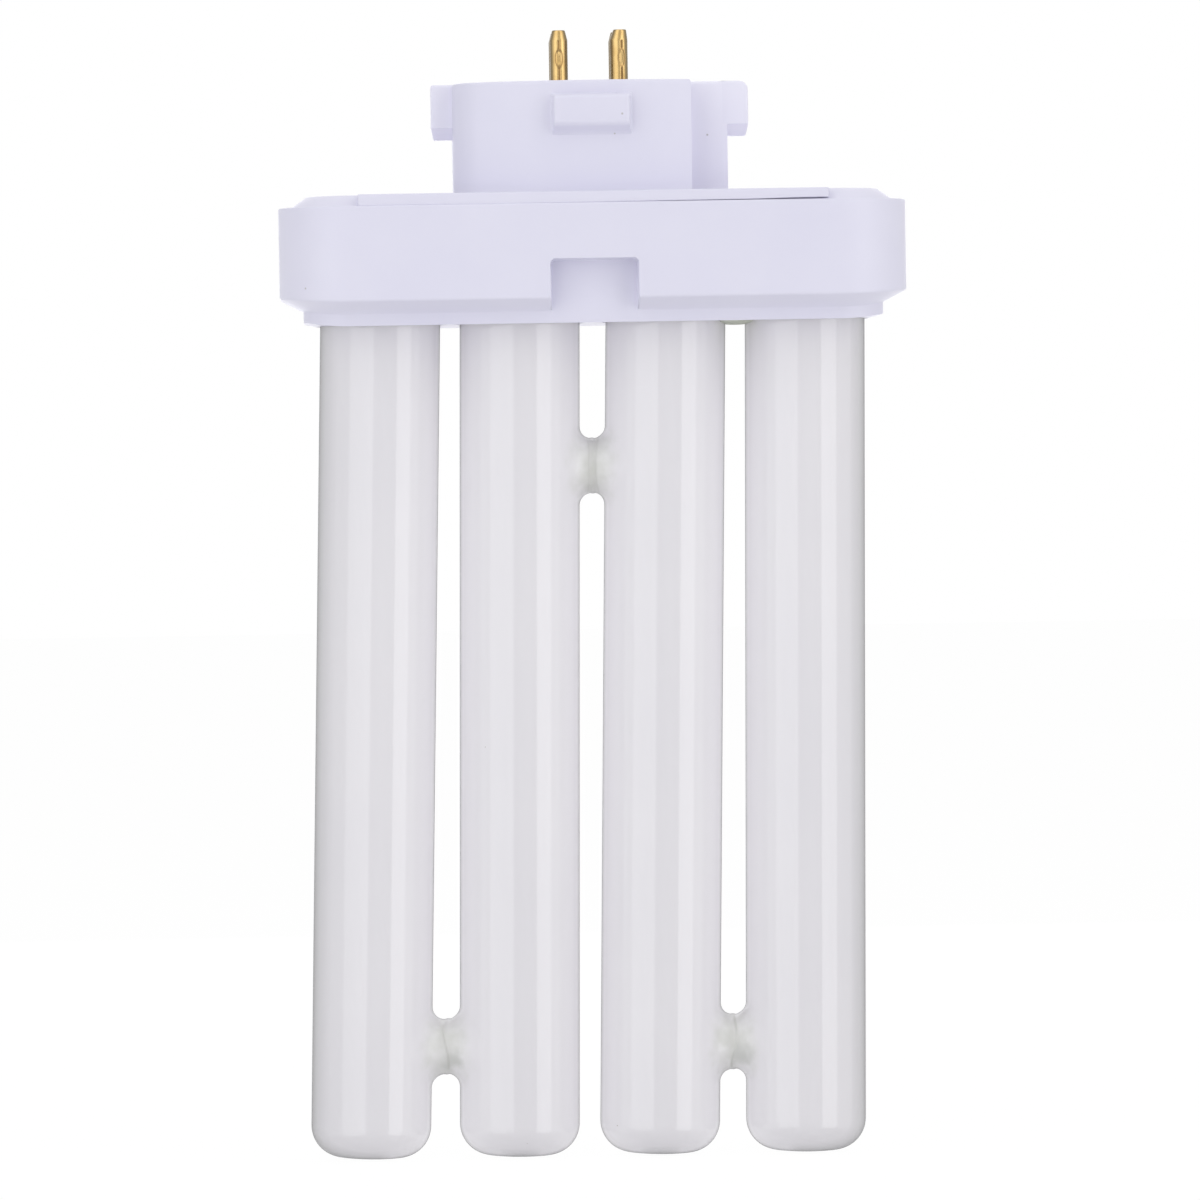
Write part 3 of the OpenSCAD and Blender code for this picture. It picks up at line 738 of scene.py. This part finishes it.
def patch_group():
    """A soft round patch: a mask that is 1 near a place and falls to 0 at the reach, with an
    edge that a noise pushes in and out."""
    group, given, put = new_group(
        "soft_patch",
        [("Vector", "NodeSocketVector", (0, 0, 0)), ("Place", "NodeSocketVector", (0, 0, 0)),
         ("Reach", "NodeSocketFloat", 0.004), ("Core", "NodeSocketFloat", 0.001),
         ("Ragged", "NodeSocketFloat", 0.0)],
        [("Mask", "NodeSocketFloat")],
    )
    away = node(group, "ShaderNodeVectorMath", operation="DISTANCE")
    noise = node(group, "ShaderNodeTexNoise", {"Scale": 420.0, "Detail": 3.0})
    shift = node(group, "ShaderNodeMath", {1: 0.5}, operation="SUBTRACT")
    push = node(group, "ShaderNodeMath", operation="MULTIPLY_ADD")
    fade = node(group, "ShaderNodeMapRange", {"To Min": 1.0, "To Max": 0.0},
                interpolation_type="SMOOTHSTEP")
    chain(
        group,
        (given.outputs["Vector"], away.inputs[0]),
        (given.outputs["Place"], away.inputs[1]),
        (given.outputs["Vector"], noise.inputs["Vector"]),
        (noise.outputs["Fac"], shift.inputs[0]),
        (shift.outputs[0], push.inputs[0]),
        (given.outputs["Ragged"], push.inputs[1]),
        (away.outputs["Value"], push.inputs[2]),
        (push.outputs[0], fade.inputs["Value"]),
        (given.outputs["Core"], fade.inputs["From Min"]),
        (given.outputs["Reach"], fade.inputs["From Max"]),
        (fade.outputs["Result"], put.inputs["Mask"]),
    )
    return group


SPECKS = speck_group()
PATCH = patch_group()


def principled(name, color, **values):
    """A material with one Principled shader; values are socket names with _ for spaces."""
    made = bpy.data.materials.new(name)
    made.use_nodes = True
    tree = made.node_tree
    shader = tree.nodes["Principled BSDF"]
    shader.inputs["Base Color"].default_value = (*color, 1)
    for key, value in values.items():
        shader.inputs[key.replace("_", " ")].default_value = value
    return made, tree, shader


def object_coordinates(tree):
    """The place on the piece, in metres."""
    return node(tree, "ShaderNodeTexCoord").outputs["Object"]


def attribute(tree, label):
    """A piece's own attribute: "line" says where its seams and edges are drawn dark, which on the
    pins is partly painted shade in grooves, and "painted_light" how much painted light, a lighter
    colour in place of light, its surface gets."""
    return node(tree, "ShaderNodeAttribute", attribute_name=label).outputs["Fac"]


def noise_value(tree, where, scale, detail):
    """The grey value of a noise."""
    made = node(tree, "ShaderNodeTexNoise", {"Scale": scale, "Detail": detail})
    tree.links.new(where, made.inputs["Vector"])
    return made.outputs["Fac"]


def dust_mask(tree, where, cells, size):
    """A mask of dust specks, with how dense and how large they are."""
    made = node(tree, "ShaderNodeGroup", {"Cells": cells, "Size": size}, node_tree=SPECKS)
    tree.links.new(where, made.inputs["Vector"])
    return made.outputs["Mask"]


def add_bump(tree, shader, height, strength, distance):
    """Bumps a shader's surface by a grey value."""
    bump = node(tree, "ShaderNodeBump", {"Strength": strength, "Distance": distance})
    chain(tree, (height, bump.inputs["Height"]), (bump.outputs["Normal"], shader.inputs["Normal"]))


def facing_away(tree):
    """0 where a surface faces the view, and 1 at its edge."""
    return node(tree, "ShaderNodeLayerWeight", {"Blend": 0.5}).outputs["Facing"]


def mixed(tree, a, b, factor):
    """A mix of two colours by a socket's value. Each is a plain colour or a socket."""
    mix = node(tree, "ShaderNodeMix", data_type="RGBA", blend_type="MIX")
    # A colour mix has its factor at input 0, its colours at 6 and 7, and its result at 2
    tree.links.new(factor, mix.inputs[0])
    for slot, value in ((6, a), (7, b)):
        if isinstance(value, tuple):
            mix.inputs[slot].default_value = (*value, 1)
        else:
            tree.links.new(value, mix.inputs[slot])
    return mix.outputs[2]


def ramp(tree, source, stops):
    """A colour ramp over a value, with (position, grey) stops."""
    made = node(tree, "ShaderNodeValToRGB")
    band = made.color_ramp
    while len(band.elements) < len(stops):
        band.elements.new(0.5)
    for element, (position, grey) in zip(band.elements, stops):
        element.position = position
        element.color = (grey, grey, grey, 1)
    tree.links.new(source, made.inputs[0])
    return made.outputs[0]


def patches(tree, where, spots):
    """The strongest of several soft patches; each spot is (x, y, z, reach, core, ragged) in
    millimetres."""
    mask = None
    for x, y, z, reach, core, ragged in spots:
        spot = node(tree, "ShaderNodeGroup", node_tree=PATCH)
        spot.inputs["Place"].default_value = (x * MM, y * MM, z * MM)
        for label, size in (("Reach", reach), ("Core", core), ("Ragged", ragged)):
            spot.inputs[label].default_value = size * MM
        tree.links.new(where, spot.inputs["Vector"])
        if mask is None:
            mask = spot.outputs["Mask"]
            continue
        most = node(tree, "ShaderNodeMath", operation="MAXIMUM")
        chain(tree, (mask, most.inputs[0]), (spot.outputs["Mask"], most.inputs[1]))
        mask = most.outputs[0]
    return mask


# Single specks as (x, y, z) in millimetres, and the (reach, core, ragged) of each kind of patch
GLASS_SPECKS = [(-2.2, 6.6, -86.0), (-14.6, -6.3, -125.5), (-15.1, -6.4, -136.5)]
PLASTIC_SPECKS = [
    (3.98, -13.2, -4.6), (3.0, -11.4, -7.1), (15.5, -2.5, -7.1), (-37.8, -13.1, -26.8),
]
GLASS_SPECK = (0.35, 0.1, 0.1)
PLASTIC_SPECK = (0.2, 0.05, 0.1)
NECK_PATCH = (6.2, 0.5, 4.5)
LOW_NECK_PATCH = (2.2, 0.1, 3.0)

# Colours
COATING = ((0.725, 0.71, 0.745), (0.745, 0.729, 0.76))
COATING_PAINTED_LIGHT = (0.87, 0.855, 0.885)
NECK_GREY = (0.63, 0.635, 0.605)
LOW_NECK_GREY = (0.6, 0.605, 0.59)
WELD_GREY = (0.5, 0.5, 0.475)
GLASS_SPECK_TONE = (0.4, 0.38, 0.36)
GLASS_PAINTED_EDGE = (0.33, 0.33, 0.335)
GLASS_DUST = (0.5, 0.47, 0.44)
PLASTIC = ((0.70, 0.69, 0.815), (0.725, 0.715, 0.83))
PLASTIC_DUST = (0.5, 0.48, 0.5)
PLASTIC_PAINTED_LIGHT = (0.92, 0.905, 1.0)
BRASS = ((0.5, 0.35, 0.15), (0.42, 0.28, 0.11))
BRASS_PAINTED_EDGE = (0.2, 0.155, 0.085)
BRASS_SEAM_AND_SHADE = (0.19, 0.105, 0.04)
LEAD = ((0.55, 0.53, 0.5), (0.35, 0.32, 0.28))
CEMENT = ((0.42, 0.44, 0.37), (0.58, 0.6, 0.53))


def glass_material():
    """White coated glass: a matt coating under a clear, smooth outer wall. The coating is thin and
    grey where the bridges were blown. The wall's edge is painted darker than its face, a painted
    shade in place of dark reflections."""
    made, tree, shader = principled(
        "coated_glass", (0.8, 0.78, 0.82), Roughness=0.6, Specular_IOR_Level=0.0,
        Coat_Weight=1.0, Coat_Roughness=0.04, Coat_IOR=1.55,
    )
    where = object_coordinates(tree)
    clouds = ramp(tree, noise_value(tree, where, 45.0, 3.0), [(0.3, 0), (0.7, 1)])
    # Painted light: a lighter coating where a tube faces a neighbour and on the necks
    between = attribute(tree, "painted_light")
    tone = mixed(tree, mixed(tree, *COATING, clouds), COATING_PAINTED_LIGHT, between)
    necks, low_patches = [], []
    for left, z, _, weld in BRIDGES:
        x = (axis_x(left, z) + axis_x(left + 1, z)) / 2
        necks += [(x, -1.5, z, *NECK_PATCH), (x, 1.5, z, *NECK_PATCH)]
        # A grey patch low on the front of each neck with a crack
        if weld == "crack":
            low_patches.append((x + 1.0, -3.4, z - 1.7, *LOW_NECK_PATCH))
    grey = patches(tree, where, necks)
    specks = patches(tree, where, [(*place, *GLASS_SPECK) for place in GLASS_SPECKS])
    tone = mixed(tree, tone, NECK_GREY, grey)
    tone = mixed(tree, tone, LOW_NECK_GREY, patches(tree, where, low_patches))
    tone = mixed(tree, tone, WELD_GREY, attribute(tree, "line"))
    tone = mixed(tree, tone, GLASS_SPECK_TONE, specks)
    # Painted shade: the colour darkens towards the edge in place of dark reflections, in a
    # narrower band on the sides with painted light
    away = facing_away(tree)
    outer = ramp(tree, away, [(0.0, 0.0), (0.35, 0.05), (0.55, 0.3), (0.8, 0.75), (1.0, 1.0)])
    inner = ramp(tree, away, [(0.0, 0.0), (0.68, 0.0), (0.8, 0.3), (0.9, 0.8), (1.0, 1.0)])
    edge = mixed(tree, outer, inner, ramp(tree, between, [(0.0, 0.0), (0.12, 1.0)]))
    tone = mixed(tree, tone, GLASS_PAINTED_EDGE, edge)
    tone = mixed(tree, tone, GLASS_DUST, dust_mask(tree, where, cells=260.0, size=0.022))
    tree.links.new(tone, shader.inputs["Base Color"])
    clear = ramp(tree, away, [(0.0, 1.0), (0.6, 1.0), (0.88, 0.06)])
    dull = node(tree, "ShaderNodeMath", {1: -0.75, 2: 1.0}, operation="MULTIPLY_ADD")
    gloss = node(tree, "ShaderNodeMath", operation="MULTIPLY")
    chain(
        tree,
        (grey, dull.inputs[0]),
        (clear, gloss.inputs[0]),
        (dull.outputs[0], gloss.inputs[1]),
        (gloss.outputs[0], shader.inputs["Coat Weight"]),
    )
    return made


def plastic_material():
    """Moulded thermoplastic, faintly lavender, with a fine satin grain and a few specks. Its
    painted light is a lighter tone, in place of light, for the faces that stand back beside the
    plug."""
    made, tree, shader = principled(
        "base_plastic", (0.72, 0.71, 0.83), Roughness=0.42, Specular_IOR_Level=0.4,
    )
    where = object_coordinates(tree)
    clouds = ramp(tree, noise_value(tree, where, 70.0, 4.0), [(0.3, 0), (0.7, 1)])
    tone = mixed(tree, *PLASTIC, clouds)
    tone = mixed(tree, tone, PLASTIC_DUST, dust_mask(tree, where, cells=230.0, size=0.02))
    # Painted light: a lighter tone where the faces stand back beside the plug
    tone = mixed(tree, tone, PLASTIC_PAINTED_LIGHT, attribute(tree, "painted_light"))
    specks = patches(tree, where, [(*place, *PLASTIC_SPECK) for place in PLASTIC_SPECKS])
    tone = mixed(tree, tone, PLASTIC_DUST, specks)
    tree.links.new(tone, shader.inputs["Base Color"])
    add_bump(tree, shader, noise_value(tree, where, 2600.0, 2.0), strength=0.12, distance=0.00005)
    return made


def brass_material():
    """Drawn brass with fine lengthwise lines, a little tarnish and dark seams, with painted shade
    in the seams' grooves and round the dimples. Its edge is painted darker, a painted reflection
    of the dark room beside the lamps."""
    made, tree, shader = principled("pin_brass", (0.8, 0.57, 0.22), Metallic=1.0, Roughness=0.22)
    where = object_coordinates(tree)
    drawn = node(tree, "ShaderNodeMapping", {"Scale": (1, 1, 0.02)})
    tree.links.new(where, drawn.inputs["Vector"])
    streaks = noise_value(tree, drawn.outputs["Vector"], 4200.0, 2.0)
    add_bump(tree, shader, streaks, strength=0.05, distance=0.00002)
    tarnish = noise_value(tree, where, 500.0, 3.0)
    tone = mixed(tree, *BRASS, ramp(tree, tarnish, [(0.45, 0), (0.7, 1)]))
    # Painted reflection: the colour darkens towards the edge
    edge = ramp(tree, facing_away(tree), [(0.18, 0.0), (0.34, 0.85), (1.0, 1.0)])
    # Dark seams, and painted shade in the seams' grooves and round the dimples
    line = attribute(tree, "line")
    tone = mixed(tree, mixed(tree, tone, BRASS_PAINTED_EDGE, edge), BRASS_SEAM_AND_SHADE, line)
    tree.links.new(tone, shader.inputs["Base Color"])
    rough = ramp(tree, tarnish, [(0.3, 0.22), (0.8, 0.34)])
    part = node(tree, "ShaderNodeMath", {1: 0.6}, operation="MULTIPLY")
    dull = node(tree, "ShaderNodeMath", operation="MAXIMUM")
    chain(
        tree,
        (line, part.inputs[0]),
        (part.outputs[0], dull.inputs[0]),
        (rough, dull.inputs[1]),
        (dull.outputs[0], shader.inputs["Roughness"]),
    )
    return made


def lead_material():
    """Tinned wire with a cloudy surface."""
    made, tree, shader = principled("lead_wire", (0.5, 0.48, 0.45), Metallic=1.0, Roughness=0.35)
    clouds = noise_value(tree, object_coordinates(tree), 900.0, 3.0)
    tree.links.new(mixed(tree, *LEAD, clouds), shader.inputs["Base Color"])
    return made


def cement_material():
    """Basing cement: rough, greenish grey and mottled."""
    made, tree, shader = principled("cement", (0.5, 0.52, 0.45), Roughness=0.9)
    clouds = noise_value(tree, object_coordinates(tree), 1200.0, 5.0)
    add_bump(tree, shader, clouds, strength=0.5, distance=0.0001)
    tree.links.new(mixed(tree, *CEMENT, clouds), shader.inputs["Base Color"])
    return made


# The dressed part

coated_glass = glass_material()
base_plastic = plastic_material()
pin_brass = brass_material()
lead_wire = lead_material()
cement = cement_material()

for piece, node_name, slot in (
    (glass_piece(coated_glass), "glass", "coated_glass"),
    (shell_piece(base_plastic), "base_shell", "base_plastic"),
    (cap_piece(base_plastic), "base_cap", "base_plastic"),
):
    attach(piece, "root")
    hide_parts(node_name)

dark_blob = dark_blob_piece(cement)
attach(dark_blob, "root")

for row, side in (("front", -1), ("rear", 1)):
    for column, way in (("left", -1), ("right", 1)):
        centre = (way * PIN_PITCH_X / 2, side * PIN_PITCH_Y / 2)
        bent = (PIN_TWIST, PIN_BEND) if (row, column) == ("front", "right") else (0.0, 0.0)
        pin = pin_piece(f"pin_{row}_{column}_drawn", centre, side, pin_brass, *bent)
        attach(pin, "root")
        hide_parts(f"pin_{row}_{column}")

for name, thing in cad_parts.items():
    for prefix, finish in (("lead_", lead_wire), ("cement_", cement)):
        if name.startswith(prefix):
            thing.data.materials.clear()
            thing.data.materials.append(finish)


# Floor, world, lamps and camera

COOL = (0.98, 0.99, 1.0)
PLAIN = (1.0, 1.0, 1.0)
AMBIENT = 0.34
FLOOR_GLOW = 0.97
FLOOR_BOUNCE = 0.25

# Upright lamps: name, azimuth and spread in degrees, radiance and colour
SOFTBOXES = [
    ("left_box", -37, 46, 1.2, COOL),
    ("far_left_box", -76, 32, 0.36, COOL),
    ("right_box", 46, 30, 1.65, PLAIN),
    ("far_right_box", 78, 34, 0.42, PLAIN),
    ("back_box", 180, 44, 1.0, PLAIN),
]
BOX_DISTANCE = 0.55
BOX_LOW, BOX_HIGH = -0.4, 0.7
TOP_BOX_HEIGHT, TOP_BOX_SIZE, TOP_BOX_GLOW = 0.5, 0.8, 0.62


def seen_at_once(tree):
    """1 where the camera, a reflection or a clear piece sees the surroundings, and else 0."""
    paths = node(tree, "ShaderNodeLightPath")
    seen = node(tree, "ShaderNodeMath", operation="MAXIMUM")
    clear = node(tree, "ShaderNodeMath", operation="MAXIMUM")
    chain(
        tree,
        (paths.outputs["Is Camera Ray"], seen.inputs[0]),
        (paths.outputs["Is Glossy Ray"], seen.inputs[1]),
        (seen.outputs[0], clear.inputs[0]),
        (paths.outputs["Is Transmission Ray"], clear.inputs[1]),
    )
    return clear.outputs[0]


def backdrop_material():
    """White where it is seen, and a pale matt surface that takes shadows. From below it is
    clear, so that the part's underside can be seen."""
    made, tree, shader = principled("floor_white", (0.9, 0.9, 0.9), Roughness=0.9)
    share = node(tree, "ShaderNodeMapRange", {"To Min": FLOOR_BOUNCE, "To Max": FLOOR_GLOW})
    glow = node(tree, "ShaderNodeEmission", {"Color": (1, 1, 1, 1), "Strength": 1.01})
    mix = node(tree, "ShaderNodeMixShader")
    side = node(tree, "ShaderNodeNewGeometry")
    gone = node(tree, "ShaderNodeBsdfTransparent")
    cut = node(tree, "ShaderNodeMixShader")
    chain(
        tree,
        (seen_at_once(tree), share.inputs["Value"]),
        (share.outputs[0], mix.inputs[0]),
        (shader.outputs[0], mix.inputs[1]),
        (glow.outputs[0], mix.inputs[2]),
        (side.outputs["Backfacing"], cut.inputs[0]),
        (mix.outputs[0], cut.inputs[1]),
        (gone.outputs[0], cut.inputs[2]),
        (cut.outputs[0], tree.nodes["Material Output"].inputs["Surface"]),
    )
    return made


def floor_piece():
    """A flat square under the tube ends."""
    z, reach = TIP_Z - FLOOR_DROP, FLOOR_REACH
    shape = Shape()
    corners = [(-reach, -reach, z), (reach, -reach, z), (reach, reach, z), (-reach, reach, z)]
    shape.add(corners, [(0, 1, 2, 3)])
    floor = shape.piece("floor", backdrop_material())
    floor.visible_glossy = False


def set_world():
    """Even surroundings: full white where seen, and a plain level of light on the part."""
    world = bpy.data.worlds.new("studio")
    bpy.context.scene.world = world
    world.use_nodes = True
    tree = world.node_tree
    tree.nodes.clear()
    level = node(tree, "ShaderNodeMapRange", {"To Min": AMBIENT, "To Max": 1.0})
    sky = node(tree, "ShaderNodeBackground", {"Color": (1, 1, 1, 1)})
    out = node(tree, "ShaderNodeOutputWorld")
    chain(
        tree,
        (seen_at_once(tree), level.inputs["Value"]),
        (level.outputs[0], sky.inputs["Strength"]),
        (sky.outputs[0], out.inputs["Surface"]),
    )


def area_lamp(name, width, height, glow, color, place, turn):
    """A rectangular lamp that the camera doesn't see; glow is its radiance."""
    data = bpy.data.lights.new(name, "AREA")
    data.shape = "RECTANGLE"
    data.size = width
    data.size_y = height
    data.energy = glow * np.pi * width * height
    data.color = color
    lamp = bpy.data.objects.new(name, data)
    lamp.location = place
    lamp.rotation_euler = turn
    lamp.visible_camera = False
    bpy.context.scene.collection.objects.link(lamp)


def set_lamps():
    """Upright soft boxes round the part, each spanning an angle of it, and one lamp above.
    Azimuth 0 is the front and positive is to the right."""
    height = BOX_HIGH - BOX_LOW
    for name, azimuth, spread, glow, color in SOFTBOXES:
        turn = np.radians(azimuth)
        width = 2 * BOX_DISTANCE * np.tan(np.radians(spread / 2))
        x, y = BOX_DISTANCE * np.sin(turn), -BOX_DISTANCE * np.cos(turn)
        place = (x, y, (BOX_LOW + BOX_HIGH) / 2)
        area_lamp(name, width, height, glow, color, place, (np.pi / 2, 0, turn))
    size = TOP_BOX_SIZE
    area_lamp("top_box", size, size, TOP_BOX_GLOW, PLAIN, (0, 0, TOP_BOX_HEIGHT), (0, 0, 0))


def set_camera():
    """A long lens at the photograph's angle. Pixels are the photograph's, 1200 of them wide."""
    pixels_per_mm = 7.5535
    frame_px = 1200
    sensor = 36.0
    distance = 1100.0
    yaw = np.radians(-1.6)
    pitch = np.radians(0.8)
    roll = np.radians(0.952)
    aim = np.array([0.38, 0.0, -68.32])
    data = bpy.data.cameras.new("view")
    data.sensor_width = sensor
    data.lens = sensor * distance / (frame_px / pixels_per_mm)
    data.clip_start, data.clip_end = 0.01, 50
    camera = bpy.data.objects.new("view", data)
    back = np.array([np.sin(yaw) * np.cos(pitch), -np.cos(yaw) * np.cos(pitch), np.sin(pitch)])
    right = np.array([np.cos(yaw), np.sin(yaw), 0])
    up = np.cross(back, right)
    turned_right = np.cos(roll) * right - np.sin(roll) * up
    turned_up = np.sin(roll) * right + np.cos(roll) * up
    spot = (aim + back * distance) * MM
    camera.matrix_world = Matrix((
        (turned_right[0], turned_up[0], back[0], spot[0]),
        (turned_right[1], turned_up[1], back[1], spot[1]),
        (turned_right[2], turned_up[2], back[2], spot[2]),
        (0, 0, 0, 1),
    ))
    bpy.context.scene.collection.objects.link(camera)
    bpy.context.scene.camera = camera


bpy.context.scene.view_settings.view_transform = "Standard"
floor_piece()
set_world()
set_lamps()
set_camera()
